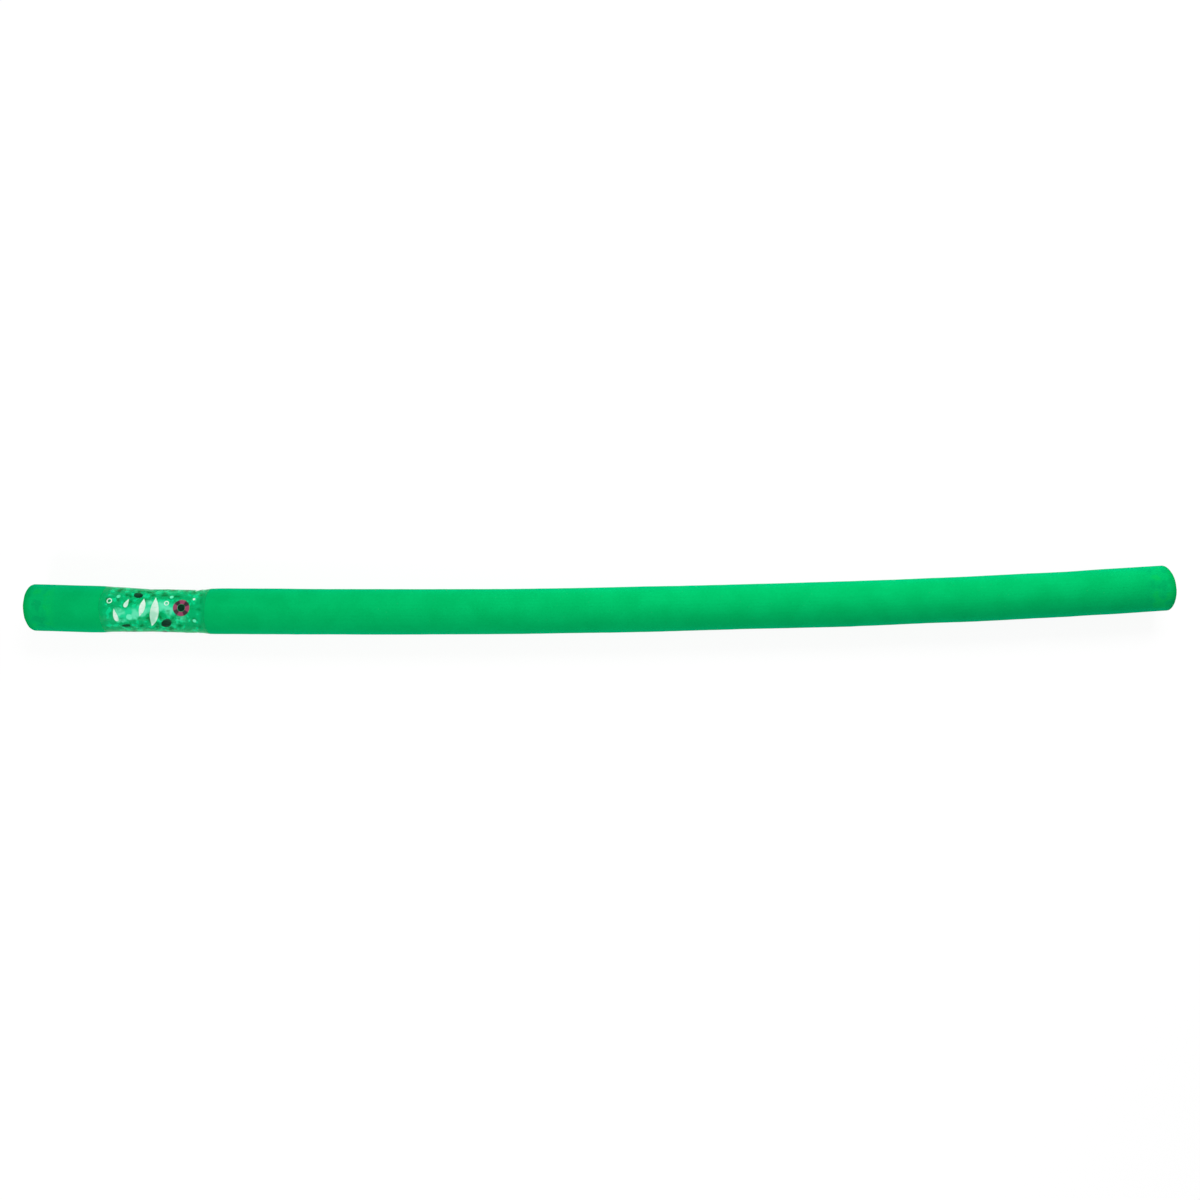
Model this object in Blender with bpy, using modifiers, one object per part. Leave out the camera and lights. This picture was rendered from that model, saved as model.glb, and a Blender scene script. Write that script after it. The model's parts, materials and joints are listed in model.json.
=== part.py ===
# A pool noodle: one hollow length of extruded foam in a shallow bow, and a printed film
# rolled round it near its left end, lapped and shrunk on, which draws the foam in to a waist.
# Metres, +Z up. It lies on the ground at z = 0, with its length along X.

import math

import bmesh
import bpy
from mathutils import Vector

OBJECT_NAME = "pool_noodle"

# The foam, along its own centre line
LENGTH = 1.600
OUTER_RADIUS = 0.0315
BORE_RADIUS = 0.0125
RIM_RADIUS = 0.0025  # the rounded outer edge of each sawn end

# The bow lies flat on the ground, and both ends reach towards +Y
BOW_RADIUS = 18.4

# The film, along the foam from its left sawn end
FILM_START = 0.106
FILM_LENGTH = 0.146
FILM_THICKNESS = 0.0001
LAP_WIDTH = 0.006  # the film's outer edge lies this far over its inner edge
LAP_GAP = 0.00005  # between the two layers of the lap
SEAM_ANGLE = math.radians(150)  # from the top, towards +Y

# The waist that the shrunk film makes in the foam
SQUEEZE = 0.0019
LEFT_SHOULDER = 0.030
RIGHT_SHOULDER = 0.020
SHOULDER_PAST_FILM = 0.010  # each shoulder starts this far past the film's edge
FILM_CLEARANCE = 0.0003

# How fine the facets are
FACETS_ROUND = 48
LONGEST_FACET = 0.080
SHOULDER_FACET = 0.005
RIM_FACETS = 3
SHARP_ANGLE = math.radians(35)
MERGE_DISTANCE = 0.00001  # points of the turned profile that lie closer become one

FOAM_GREEN = (0.002, 0.440, 0.115, 1.0)
FOAM_ROUGHNESS = 0.65
FILM_GREEN = (0.010, 0.400, 0.140, 1.0)
FILM_ROUGHNESS = 0.2

FULL_TURN = 2 * math.pi
FACET_ANGLE = FULL_TURN / FACETS_ROUND

LEFT_END = -LENGTH / 2
RIGHT_END = LENGTH / 2
FILM_LEFT = LEFT_END + FILM_START
FILM_RIGHT = FILM_LEFT + FILM_LENGTH
WAIST_LEFT = FILM_LEFT - SHOULDER_PAST_FILM
WAIST_RIGHT = FILM_RIGHT + SHOULDER_PAST_FILM


def clear_scene():
    for obj in list(bpy.data.objects):
        bpy.data.objects.remove(obj, do_unlink=True)


def smooth_step(share):
    share = min(max(share, 0.0), 1.0)
    return share * share * (3.0 - 2.0 * share)


def foam_radius(x):
    """The radius of the foam's outer wall, which eases down to the waist and back."""
    into_waist = smooth_step((x - WAIST_LEFT) / LEFT_SHOULDER)
    out_of_waist = smooth_step((WAIST_RIGHT - x) / RIGHT_SHOULDER)
    return OUTER_RADIUS - SQUEEZE * into_waist * out_of_waist


def around(x, radius, angle):
    """A point off the straight centre line, with angles from the top towards +Y."""
    return Vector((x, radius * math.sin(angle), radius * math.cos(angle)))


def evenly(start, end, longest):
    """Places from start to end, both included, no further apart than longest."""
    count = max(1, math.ceil((end - start) / longest))
    return [start + (end - start) * i / count for i in range(count)] + [end]


def wall_stations():
    """Where the outer wall has a ring of points: few on the plain lengths, many on the shoulders."""
    stretches = [
        (WAIST_LEFT, LONGEST_FACET),
        (FILM_LEFT, SHOULDER_FACET),
        (WAIST_LEFT + LEFT_SHOULDER, SHOULDER_FACET),
        (WAIST_RIGHT - RIGHT_SHOULDER, LONGEST_FACET),
        (FILM_RIGHT, SHOULDER_FACET),
        (WAIST_RIGHT, SHOULDER_FACET),
        (RIGHT_END - RIM_RADIUS, LONGEST_FACET),
    ]
    stations = [LEFT_END + RIM_RADIUS]
    for end, longest in stretches:
        stations += evenly(stations[-1], end, longest)[1:]
    return stations


def rim_points(centre_x, start_angle):
    """A quarter round of the profile in (x, radius), turning clockwise from start_angle."""
    centre_radius = OUTER_RADIUS - RIM_RADIUS
    points = []
    for i in range(RIM_FACETS + 1):
        angle = start_angle - math.pi / 2 * i / RIM_FACETS
        x = centre_x + RIM_RADIUS * math.cos(angle)
        points.append((x, centre_radius + RIM_RADIUS * math.sin(angle)))
    return points


def foam_profile():
    """The closed half section in (x, radius): up the left face, along the wall, and back down the bore."""
    wall = [(x, foam_radius(x)) for x in wall_stations()[1:-1]]
    bore = [(x, BORE_RADIUS) for x in reversed(evenly(LEFT_END, RIGHT_END, LONGEST_FACET))]
    left_rim = rim_points(LEFT_END + RIM_RADIUS, math.pi)
    right_rim = rim_points(RIGHT_END - RIM_RADIUS, math.pi / 2)
    return left_rim + wall + right_rim + bore


def material(name, colour, roughness):
    made = bpy.data.materials.new(name)
    made.use_nodes = True
    shader = made.node_tree.nodes["Principled BSDF"]
    shader.inputs["Base Color"].default_value = colour
    shader.inputs["Roughness"].default_value = roughness
    shader.inputs["Metallic"].default_value = 0.0
    return made


def add_piece(name, mesh, finish, collection):
    mesh.materials.append(finish)
    piece = bpy.data.objects.new(name, mesh)
    collection.objects.link(piece)
    return piece


def bow(piece, straight_length):
    """Bends a straight piece in the XY plane, round the same centre as every other."""
    bend = piece.modifiers.new("bow", "SIMPLE_DEFORM")
    bend.deform_method = "BEND"
    bend.deform_axis = "Z"
    bend.angle = straight_length / BOW_RADIUS


def turn_mesh(piece):
    """Turns the profile in piece's mesh once round X, and keeps the edges of the saw cuts sharp."""
    turn = piece.modifiers.new("turn", "SCREW")
    turn.axis = "X"
    turn.angle = FULL_TURN
    turn.steps = FACETS_ROUND
    turn.render_steps = FACETS_ROUND
    turn.use_merge_vertices = True
    turn.merge_threshold = MERGE_DISTANCE
    turn.use_normal_flip = True
    bpy.context.view_layer.update()
    graph = bpy.context.evaluated_depsgraph_get()
    turned = bpy.data.meshes.new_from_object(piece.evaluated_get(graph))
    turned.shade_smooth()
    turned.set_sharp_from_angle(angle=SHARP_ANGLE)
    piece.modifiers.remove(turn)
    piece.data = turned


def foam_tube(collection):
    """The sawn length of foam. A whole facet of it faces straight down, so it lies flat."""
    lowest_facet_edge = math.pi + FACET_ANGLE / 2
    points = [around(x, radius, lowest_facet_edge) for x, radius in foam_profile()]
    edges = [(i, (i + 1) % len(points)) for i in range(len(points))]
    mesh = bpy.data.meshes.new("foam_tube")
    mesh.from_pydata(points, edges, [])
    finish = material("green_foam", FOAM_GREEN, FOAM_ROUGHNESS)
    piece = add_piece("foam_tube", mesh, finish, collection)
    turn_mesh(piece)
    bow(piece, LENGTH)
    return piece


def roll_angles():
    """Where the rolled film has a line of points: once round, and then on to the end of its lap."""
    once_round = [i * FACET_ANGLE for i in range(FACETS_ROUND + 1)]
    lap_angle = LAP_WIDTH / (OUTER_RADIUS - SQUEEZE)
    return once_round + [FULL_TURN + angle for angle in evenly(0, lap_angle, FACET_ANGLE)[1:]]


def rolled_point(x, angle):
    """A point on the film's inner face: against the foam, or over the film's first edge in the lap."""
    lifted = angle > FULL_TURN - FACET_ANGLE / 2
    lift = FILM_THICKNESS + LAP_GAP if lifted else 0.0
    return around(x, foam_radius(x) + FILM_CLEARANCE + lift, SEAM_ANGLE + angle)


def label_sleeve(collection):
    """The film: a flat grid, rolled round the foam's waist, then given its thickness outwards."""
    along = [x for x in wall_stations() if FILM_LEFT <= x <= FILM_RIGHT]
    angles = roll_angles()
    shape = bmesh.new()
    bmesh.ops.create_grid(shape, x_segments=len(along) - 1, y_segments=len(angles) - 1, size=0.5)
    for vert in shape.verts:
        row = round((vert.co.x + 0.5) * (len(along) - 1))
        column = round((vert.co.y + 0.5) * (len(angles) - 1))
        vert.co = rolled_point(along[row], angles[column])
    mesh = bpy.data.meshes.new("label_sleeve")
    shape.to_mesh(mesh)
    shape.free()
    mesh.shade_smooth()
    finish = material("printed_film", FILM_GREEN, FILM_ROUGHNESS)
    piece = add_piece("label_sleeve", mesh, finish, collection)
    bow(piece, FILM_LENGTH)
    thicken = piece.modifiers.new("thickness", "SOLIDIFY")
    thicken.thickness = FILM_THICKNESS
    thicken.offset = 1.0
    return piece


def main():
    clear_scene()
    collection = bpy.data.collections.new(OBJECT_NAME)
    bpy.context.scene.collection.children.link(collection)

    # The middle of the centre line. Half the bow lies each side of y = 0
    centre = bpy.data.objects.new("centre_line_middle", None)
    bow_depth = BOW_RADIUS * (1 - math.cos(LENGTH / 2 / BOW_RADIUS))
    height = OUTER_RADIUS * math.cos(FACET_ANGLE / 2)
    centre.location = (0, -bow_depth / 2, height)
    collection.objects.link(centre)

    for piece in (foam_tube(collection), label_sleeve(collection)):
        piece.parent = centre


main()
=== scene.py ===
import json
from math import asin, atan2, ceil, cos, pi, radians, sin, sqrt

import bmesh
import bpy
import numpy as np
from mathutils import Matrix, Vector
from mathutils.kdtree import KDTree


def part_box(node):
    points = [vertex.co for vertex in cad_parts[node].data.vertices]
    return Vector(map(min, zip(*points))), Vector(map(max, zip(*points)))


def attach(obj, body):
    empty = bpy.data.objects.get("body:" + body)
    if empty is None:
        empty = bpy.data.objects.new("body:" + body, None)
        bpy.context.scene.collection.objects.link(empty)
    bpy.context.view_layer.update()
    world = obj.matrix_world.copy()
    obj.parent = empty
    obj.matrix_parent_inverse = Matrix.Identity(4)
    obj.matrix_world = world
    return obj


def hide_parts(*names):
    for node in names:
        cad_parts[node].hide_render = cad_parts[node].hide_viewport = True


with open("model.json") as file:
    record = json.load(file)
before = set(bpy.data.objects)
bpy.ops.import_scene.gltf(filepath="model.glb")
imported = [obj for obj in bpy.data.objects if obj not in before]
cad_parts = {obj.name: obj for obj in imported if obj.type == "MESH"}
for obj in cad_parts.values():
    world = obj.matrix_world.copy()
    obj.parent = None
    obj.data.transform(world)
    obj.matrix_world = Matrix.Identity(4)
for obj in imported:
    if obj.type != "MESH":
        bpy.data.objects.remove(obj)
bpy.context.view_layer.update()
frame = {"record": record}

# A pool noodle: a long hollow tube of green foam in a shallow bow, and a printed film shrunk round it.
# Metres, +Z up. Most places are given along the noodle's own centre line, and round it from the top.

mm = 0.001
fullTurn = 2 * pi


# The frame: the end face's mount gives the bow, and the boxes of the two nodes give the rest

mounts = {mount["name"]: mount for mount in frame["record"]["mounts"]}
endPlace = Vector(mounts["right_end_face"]["pos_m"])
endAxis = Vector(mounts["right_end_face"]["axis"])
foamLow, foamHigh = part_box("foam_tube")
filmLow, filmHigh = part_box("label_sleeve")

halfBend = atan2(endAxis.y, endAxis.x)  # the bow turns this far from the middle to each end
bowRadius = endPlace.x / sin(halfBend)
halfLength = bowRadius * halfBend
middleY = endPlace.y - bowRadius * (1 - cos(halfBend))
axisHeight = (foamLow.z + foamHigh.z) / 2


def alongAt(x, side):  # the place along the centre line of a point at x, this far to its +Y side
    return bowRadius * asin(x / (bowRadius - side))


filmHalfWidth = (filmHigh.z - filmLow.z) / 2
filmLeft = alongAt(filmLow.x, -filmHalfWidth)
filmRight = alongAt(filmHigh.x, filmHalfWidth)
filmLength = filmRight - filmLeft
print(f"frame: {2 * halfLength:.3f} m long, film from {filmLeft:.3f} to {filmRight:.3f}")


# Shape helpers

def smooth(share):
    share = np.clip(share, 0.0, 1.0)
    return share * share * (3.0 - 2.0 * share)


def evenly(start, end, longest):
    return np.linspace(start, end, max(1, ceil(abs(end - start) / longest)) + 1)


def onceRound(count):
    return np.arange(count) * fullTurn / count


def roundedLine(points, spread):
    # Straight runs between (mm, mm) points, with each corner eased over spread. Gives a function of metres
    step = 0.5  # mm
    reach = int(spread / step)
    corners, levels = zip(*points)
    places = np.arange(corners[0] - 2 * spread, corners[-1] + 2 * spread, step)
    heights = np.pad(np.interp(places, corners, levels), reach, mode="edge")
    weights = np.hanning(2 * reach + 3)[1:-1]
    eased = np.convolve(heights, weights / weights.sum(), mode="valid")
    return lambda metres: np.interp(metres / mm, places, eased) * mm


def unevenness(along, angle, seed, height, waves, longest, shortest, lobes):
    # Gentle waves along and round the tube, about this high, which meet themselves once round
    draw = np.random.default_rng(seed)
    total = 0.0 * (along + angle)
    for _ in range(waves):
        length = longest * (shortest / longest) ** draw.random()
        phase = fullTurn * draw.random()
        total += np.cos(fullTurn * along / length + int(draw.integers(-lobes, lobes + 1)) * angle + phase)
    return height * (total / sqrt(waves))


def together(*parts):  # as the last axis of one array
    return np.stack(np.broadcast_arrays(*parts), axis=-1)


def offCentre(along, radius, angle):  # straight: along, towards +Y, up
    return together(along, radius * np.sin(angle), radius * np.cos(angle))


def newObject(name, data):
    made = bpy.data.objects.new(name, data)
    bpy.context.scene.collection.objects.link(made)
    return made


def keepPlaces(mesh, name, places):  # a place for each point, which the materials read
    kept = mesh.attributes.new(name, "FLOAT_VECTOR", "POINT")
    kept.data.foreach_set("vector", places.astype(np.float32).ravel())


def meshObject(name, points, faceSets, mapSets, straight, extra):
    # faceSets are arrays of corners, mapSets their places in the unfolded map, extra named values per point
    mesh = bpy.data.meshes.new(name)
    mesh.from_pydata(points.tolist(), [], [face for faces in faceSets for face in faces.tolist()])
    layer = mesh.uv_layers.new(name="OFBake")
    layer.uv.foreach_set("vector", np.concatenate([places.reshape(-1, 2) for places in mapSets]).ravel())
    keepPlaces(mesh, "straight", straight)
    for label, values in extra.items():
        mesh.attributes.new(label, "FLOAT", "POINT").data.foreach_set("value", values.astype(np.float32))
    mesh.shade_smooth()
    return newObject(name, mesh)


# Node helpers

def fill(tree, node, sockets):  # each with a number, a colour or another node's output
    for name, value in sockets.items():
        if isinstance(value, bpy.types.NodeSocket):
            tree.links.new(value, node.inputs[name])
        else:
            node.inputs[name].default_value = value


def put(tree, kind, sockets=None, **settings):
    node = tree.nodes.new("ShaderNode" + kind)
    for name, value in settings.items():
        setattr(node, name, value)
    fill(tree, node, sockets or {})
    return node


def sums(tree, operation, *values, clamp=False):
    sockets = dict(enumerate(values))
    return put(tree, "Math", sockets, operation=operation, use_clamp=clamp).outputs[0]


def times(tree, first, second):
    return sums(tree, "MULTIPLY", first, second)


def ramp(tree, value, start, end, low=0.0, high=1.0):
    sockets = {"Value": value, "From Min": start, "From Max": end, "To Min": low, "To Max": high}
    return put(tree, "MapRange", sockets, interpolation_type="SMOOTHSTEP").outputs["Result"]


def between(tree, factor, first, second):  # two numbers
    return put(tree, "Mix", {0: factor, 2: first, 3: second}).outputs[0]


def mixed(tree, factor, first, second):  # two colours
    return put(tree, "Mix", {0: factor, 6: first, 7: second}, data_type="RGBA").outputs[2]


def tinted(tree, colour, tint, mask, share):  # up to this share of the way to the tint, under the mask
    return mixed(tree, times(tree, mask, share), colour, tint)


def scaledPlace(tree, place, scales):
    return put(tree, "VectorMath", {0: place, 1: scales}, operation="MULTIPLY").outputs["Vector"]


def inSteps(tree, place, size):  # the place counted in steps of this size
    finer = sums(tree, "DIVIDE", 1.0, size)
    return put(tree, "VectorMath", {0: place, "Scale": finer}, operation="SCALE").outputs["Vector"]


def splitPlace(tree, place):
    return put(tree, "SeparateXYZ", {0: place}).outputs


def noiseOf(tree, place, scale, detail=2.0):
    return put(tree, "TexNoise", {"Vector": place, "Scale": scale, "Detail": detail}).outputs["Fac"]


def attribute(tree, name, output="Fac"):
    return put(tree, "Attribute", attribute_name=name).outputs[output]


def bumpOf(tree, look, height):
    sockets = {"Strength": look["bumpStrength"], "Distance": look["bumpDepth"], "Height": height}
    return put(tree, "Bump", sockets).outputs[0]


def newGroup(name, sizes, outputs):
    # A shared effect. It takes a place and named sizes in metres, and gives values over the surface
    tree = bpy.data.node_groups.new(name, "ShaderNodeTree")
    tree.interface.new_socket("Vector", in_out="INPUT", socket_type="NodeSocketVector")
    for label, size in sizes.items():
        tree.interface.new_socket(label, in_out="INPUT", socket_type="NodeSocketFloat").default_value = size
    for label in outputs:
        tree.interface.new_socket(label, in_out="OUTPUT", socket_type="NodeSocketFloat")
    return tree, tree.nodes.new("NodeGroupInput").outputs, tree.nodes.new("NodeGroupOutput")


def placed(tree, group, sockets):
    return put(tree, "Group", sockets, node_tree=group).outputs


def newMaterial(name, constants):
    material = bpy.data.materials.new(name)
    material.use_nodes = True
    shader = material.node_tree.nodes["Principled BSDF"]
    fill(material.node_tree, shader, constants)
    return material, material.node_tree, shader


# Effects that several materials share

def cellsGroup():
    # Closed foam cells: a dome to each, the walls between them, and a tone of its own
    tree, given, out = newGroup("foamCells", {"Cell Size": 0.0015}, ("Dome", "Wall", "Tone"))
    grid = inSteps(tree, given["Vector"], given["Cell Size"])
    shift = put(tree, "TexNoise", {"Vector": grid, "Scale": 0.6, "Detail": 1.0}).outputs["Color"]
    grid = put(tree, "VectorMath", {0: grid, 1: shift}, operation="ADD").outputs[0]
    sockets = {"Vector": grid, "Scale": 1.0, "Randomness": 0.9}
    nearest = put(tree, "TexVoronoi", sockets).outputs
    border = put(tree, "TexVoronoi", sockets, feature="DISTANCE_TO_EDGE").outputs
    fill(tree, out, {
        "Dome": ramp(tree, nearest["Distance"], 0.0, 0.75, 1.0, 0.0),
        "Wall": ramp(tree, border["Distance"], 0.02, 0.14, 1.0, 0.0),
        "Tone": put(tree, "SeparateColor", {0: nearest["Color"]}).outputs[0]})
    return tree


def streaksGroup():
    # Fine lines along the tube, left by the die that the foam came out of
    tree, given, out = newGroup("dieStreaks", {"Pitch": 0.002, "Length": 0.4}, ("Streak",))
    across = sums(tree, "DIVIDE", 1.0, given["Pitch"])
    along = sums(tree, "DIVIDE", 1.0, given["Length"])
    scales = put(tree, "CombineXYZ", {0: along, 1: across, 2: across}).outputs[0]
    fill(tree, out, {"Streak": noiseOf(tree, scaledPlace(tree, given["Vector"], scales), 1.0)})
    return tree


def marksGroup():
    # What handling leaves: soft rubbed patches, and specks of dust
    sizes = {"Patch Size": 0.03, "Speck Size": 0.002}
    tree, given, out = newGroup("handlingMarks", sizes, ("Rubbed", "Specks"))
    patches = noiseOf(tree, inSteps(tree, given["Vector"], given["Patch Size"]), 1.0, 4.0)
    fine = inSteps(tree, given["Vector"], given["Speck Size"])
    dots = put(tree, "TexVoronoi", {"Vector": fine, "Scale": 1.0}).outputs
    speck = ramp(tree, dots["Distance"], 0.06, 0.12, 1.0, 0.0)
    chance = put(tree, "SeparateColor", {0: dots["Color"]}).outputs[1]
    fill(tree, out, {
        "Rubbed": ramp(tree, patches, 0.48, 0.72),
        "Specks": times(tree, speck, ramp(tree, chance, 0.86, 0.9))})
    return tree


cells = cellsGroup()
streaks = streaksGroup()
marks = marksGroup()
print("shared effects: cells, streaks, handling marks")


# The foam's outside, which the film is also laid on

foamShape = {
    # Outside radius by place from the left end, both in mm: the plump stub, the waist, the long plain run
    "outline": [(0, 32.8), (84, 33.0), (99, 32.8), (110, 31.8), (128, 31.4), (152, 30.6), (168, 29.8),
                (180, 30.2), (232, 30.2), (242, 30.8), (251, 32.1), (259, 32.4), (330, 32.3), (500, 32.15),
                (740, 31.9), (880, 32.2), (1000, 31.7), (1140, 32.25), (1225, 31.8), (1400, 32.1),
                (1480, 31.85), (1520, 32.2), (1600, 32.0)],
    # How far the centre line strays from the even bow towards +Y, by place from the left end, both in mm
    "sway": [(0, 0.1), (90, -0.2), (125, 0.0), (155, -0.7), (185, -0.4), (215, -0.9), (245, -0.7),
             (270, -0.1), (340, 0.3), (560, 0.4), (690, 0.0), (780, 0.3), (1010, 0.6), (1075, 0.4),
             (1150, -0.1), (1290, 0.0), (1320, -0.3), (1380, 0.1), (1460, -0.1), (1500, 0.3), (1560, 0.6),
             (1600, 1.0)],
    "cornerEase": 7,  # mm
    # Each saw cut: mm that the middle of the face lies in from the end, and mm more at sawSide towards +Y
    "leftSaw": (0.8, -1.6),
    "rightSaw": (0.5, 1.1),
    "sawSide": 30 * mm,
    "sawReach": 30 * mm,  # over this length the foam eases to its slanted face
    "restRadius": 31.5 * mm,  # where the foam is plumper than this, its centre line lies higher
    "groundGive": 0.1 * mm,  # how softly the foam meets the ground
    # Waves: seed, height, how many, the longest and shortest in metres, and the most of them once round
    "swell": (3, 0.10 * mm, 14, 0.60, 0.07, 3),
    "ripple": (4, 0.035 * mm, 18, 0.05, 0.018, 9),
    # Finger dents: place from the left end, degrees from the top, depth, length and width, in mm
    "dents": [(1578, 19, 0.7, 9, 8), (1566, -6, 0.35, 12, 10), (62, 48, 0.3, 16, 12),
              (905, -35, 0.25, 22, 12), (470, 20, 0.22, 26, 14), (1215, 52, 0.25, 20, 13)],
}
outline = roundedLine(foamShape["outline"], foamShape["cornerEase"])
sway = roundedLine(foamShape["sway"], 3 * foamShape["cornerEase"])

filmShape = {
    "thickness": 0.1 * mm,
    "flatRadius": 30 * mm,  # turns a distance round the flat label into an angle
    "standoff": 0.15 * mm,  # from the foam to the film's inner face
    "footing": 4 * mm,  # past each edge of the film, the foam rises back over this length
    "lapWidth": 6 * mm,
    "lapGap": 0.05 * mm,
    "lapRise": 0.05,  # radians over which the film climbs on to its first edge
    "seamAngle": radians(150),  # from the top, towards +Y
    "alongStep": 1.0 * mm,
    "roundStep": 1.15 * mm,
    "edgeFlare": 0.05 * mm,
    "edgeReach": 4 * mm,
    "edgeWander": 0.5 * mm,
    "puckers": 27,
    "puckerHeight": 0.30 * mm,
    "puckerStray": (2.3, 1.1),  # radians, in 3 and in 5 waves once round
    "puckerTwist": 40 * mm,  # along the film for each radian
    "gathers": 43,
    "gatherHeight": 0.26 * mm,
    "gatherStray": (3, 2),  # radians, in 2 waves once round, and in waves along the film
    "gatherTwist": (9 * mm, 17 * mm),  # along the film for each radian, of the gathers and of those waves
    "gatherNeck": 2.2 * mm,  # the gathers are highest where the foam is drawn in this far
    "gatherPatches": (8, 0.5, 10, 0.09, 0.03, 4),  # the waves that the gathers come and go in
    # Creases: place from the film's left edge and length in mm, degrees from the top, slant in degrees
    "creases": [(22, 30, 42, 14), (34, 38, -20, -9), (63, 34, 8, 24), (66, 30, -58, -20), (70, 40, 70, 12),
                (96, 32, -38, 10), (112, 26, 30, -16), (118, 30, -80, 8), (52, 36, 120, 15),
                (90, 34, 170, -12), (104, 30, 222, 18)],
    "creaseHeight": 0.55 * mm,
    "creaseWidth": 1.4 * mm,
}


def sawShift(along, y):  # how much further towards +X an even noodle would reach here
    side = np.sign(along)
    near = smooth(1 - (halfLength - np.abs(along)) / foamShape["sawReach"])
    bothEnds = zip(foamShape["leftSaw"], foamShape["rightSaw"])
    inward, more = [np.where(side < 0, left, right) for left, right in bothEnds]
    return side * near * (inward + more * y / foamShape["sawSide"]) * mm


def liftAt(along):
    return np.maximum(outline(along + halfLength) - foamShape["restRadius"], 0.0)


def bowed(straight):
    # Bends straight points in plan round the bow's centre, lifts wide places and rests them on the ground
    along, y, z = straight[..., 0], straight[..., 1], straight[..., 2]
    turn = (along - sawShift(along, y)) / bowRadius
    reach = bowRadius - y - sway(along + halfLength)
    height = axisHeight + liftAt(along) + z
    give = foamShape["groundGive"]
    rested = (height + np.sqrt(height * height + give * give)) / 2
    return together(reach * np.sin(turn), middleY + bowRadius - reach * np.cos(turn), rested)


def underFilm(along):  # 1 where the film presses on the foam, 0 past its edges
    footing = filmShape["footing"]
    return smooth((along - filmLeft) / footing + 1) * smooth((filmRight - along) / footing + 1)


def aside(angle, degrees):  # metres round the noodle from the line at this many degrees
    turned = (angle - radians(degrees) + pi) % fullTurn - pi
    return turned * foamShape["restRadius"]


def dentsAt(along, angle):
    total = 0.0 * (along + angle)
    for place, degrees, depth, length, width in foamShape["dents"]:
        ahead = (along + halfLength - place * mm) / (length * mm)
        across = aside(angle, degrees) / (width * mm)
        total += depth * mm * np.exp(-ahead * ahead - across * across)
    return total


def foamRadius(along, angle):
    loose = 1 - underFilm(along)
    swell = unevenness(along, angle, *foamShape["swell"])
    ripple = unevenness(along, angle, *foamShape["ripple"])
    free = swell + ripple - dentsAt(along, angle)
    return outline(along + halfLength) + loose * free - (1 - loose) * filmShape["standoff"]


# The film: a sheet rolled round the waist from its seam, over its own first edge, and shrunk tight

def puckersAt(along, angle):
    three, five = filmShape["puckerStray"]
    stray = three * np.sin(3 * angle + 1) + five * np.sin(5 * angle + along / filmShape["puckerTwist"])
    return (0.5 + 0.5 * np.cos(filmShape["puckers"] * angle + stray)) ** 2


def gathersAt(along, angle):
    roundStray, alongStray = filmShape["gatherStray"]
    twist, wave = filmShape["gatherTwist"]
    stray = roundStray * np.sin(2 * angle) + along / twist + alongStray * np.sin(along / wave)
    neck = smooth((foamShape["restRadius"] - outline(along + halfLength)) / filmShape["gatherNeck"])
    patches = smooth(0.5 + unevenness(along, angle, *filmShape["gatherPatches"]))
    return neck * (0.5 + 0.5 * np.cos(filmShape["gathers"] * angle + stray)) ** 3 * patches


def filmWrinkles(along, angle):  # how far each place stands out from the waist, never less than 0
    shape = filmShape
    fromEdge = np.minimum(along - filmLeft, filmRight - along)
    edge = np.exp(-np.maximum(fromEdge, 0.0) / shape["edgeReach"])
    height = shape["edgeFlare"] * edge + shape["puckerHeight"] * edge * puckersAt(along, angle)
    height = height + shape["gatherHeight"] * gathersAt(along, angle)
    for place, length, degrees, slant in shape["creases"]:
        ahead = along - filmLeft - place * mm
        across = aside(angle, degrees)
        lean = radians(slant)
        onward = ahead * cos(lean) + across * sin(lean)
        off = across * cos(lean) - ahead * sin(lean)
        taper = smooth(1.5 - np.abs(onward) / (length * mm / 2) * 1.5)  # full over the middle third
        height = height + shape["creaseHeight"] * taper * np.exp(-(off / shape["creaseWidth"]) ** 2)
    return height


def filmRadius(along, angle):  # the film's inner face
    return outline(along + halfLength) + filmWrinkles(along, angle)


# Foam tube

foamBuild = {
    "boreRadius": 12.5 * mm,
    "boreRim": 0.8 * mm,
    "boreWobble": (5, 0.12 * mm, 10, 0.4, 0.05, 3),  # waves, as in foamShape
    "rimRadius": 2.5 * mm,
    "rimWobble": (31, 0.12, 9, 1, 1, 14),  # waves, their height a share of that radius
    # How fine the mesh is
    "endRound": 384,  # points round each sawn face
    "wallRound": 96,
    "faceStep": 0.45 * mm,
    "boreRimSteps": 4,
    "rimSteps": 9,
    "plainStep": 4.5 * mm,
    "filmStep": 2.0 * mm,
    "shoulderStep": 1.0 * mm,
    "boreStep": 16 * mm,
    "shoulder": 14 * mm,  # how far each side of a film edge the fine rings run
    "endStop": 1.2 * mm,  # past the rim, where the rings of an end stop
    "wallStart": 3.2 * mm,  # past the rim, where the wall's own rings start
    "boreStart": 6 * mm,  # from each end, where the bore's own rings start
    # The sawn faces
    "cellSeed": 21,
    "cellSize": 1.7 * mm,
    "cellDepth": 0.42 * mm,
    "cellShake": 0.42,  # of the cell size, how far the centres stray from their grid
    "cellWall": 0.62,  # of the cell size, over which a cell deepens from its wall
    "shallowest": 0.35,  # of the deepest cell's depth
    "cellReach": 35 * mm,
    "sawPitch": 2.6 * mm,
    "sawDepth": 0.05 * mm,
    "sawAngle": 0.5,  # radians that the saw's lines lean
    "sawStray": 1.5,  # radians that they waver
    "sawWaver": 6 * mm,  # up the face for each radian of that wave
}


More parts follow.
